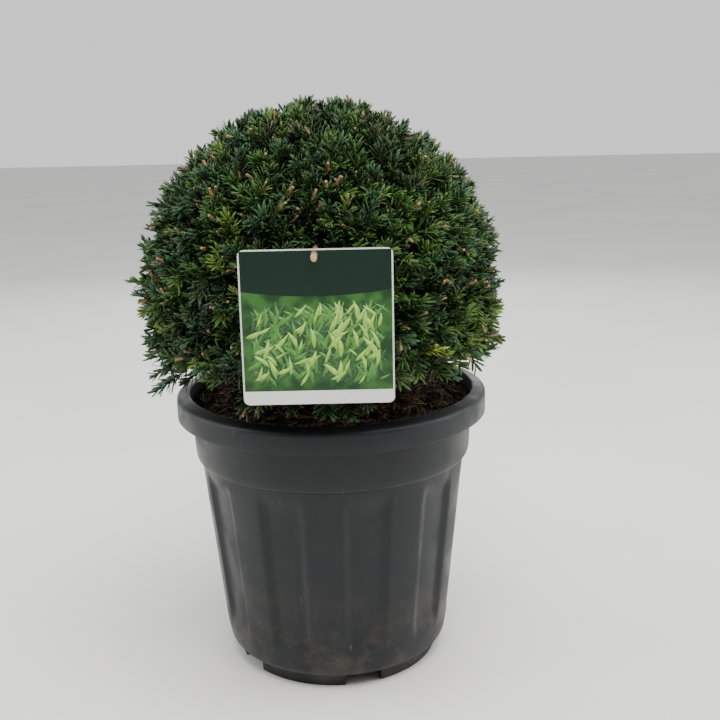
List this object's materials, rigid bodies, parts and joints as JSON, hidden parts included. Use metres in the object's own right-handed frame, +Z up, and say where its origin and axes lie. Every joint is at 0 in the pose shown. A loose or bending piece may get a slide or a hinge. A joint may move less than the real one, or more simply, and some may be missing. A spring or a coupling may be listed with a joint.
{
  "type": "potted hybrid yew",
  "caption": "Hybrid yew clipped to a dense ball on a short trunk, growing in a fluted black nursery pot, with a plain picture label hung on the front.",
  "frame": {"origin": "on the floor, under the middle of the whole plant's box; the pot's own axis stands 12.1 mm to +X and 6.8 mm to +Y of it, because the clipped ball leans to the other side", "axes": "+Z up along the pot's axis; -Y is the front, the side that carries the label; +X is to the right seen from the front"},
  "size_m": [0.384, 0.3731, 0.5626],
  "materials": {
    "pot_plastic": "moulded satin charcoal plastic, dusty and scuffed",
    "potting_soil": "moist dark potting mix with bark chips and pale fibres",
    "bark": "flaking red-brown bark",
    "needles": "glossy dark green flat needles",
    "printed_card": "thin printed card with a plain leaf pattern",
    "cut_wood": "freshly cut twig end"
  },
  "bodies": {
    "root": {"pot": "pot_plastic", "soil": "potting_soil", "trunk": "bark", "label_card": "printed_card", "label_twig": "cut_wood", "bough_front": "bark", "bough_front_right": "bark", "bough_back_right": "bark", "bough_back": "bark", "bough_back_left": "bark", "bough_front_left": "bark", "mass_front": "needles", "mass_front_right": "needles", "mass_back_right": "needles", "mass_back": "needles", "mass_back_left": "needles", "mass_front_left": "needles", "mass_top": "needles"}
  },
  "joints": []
}
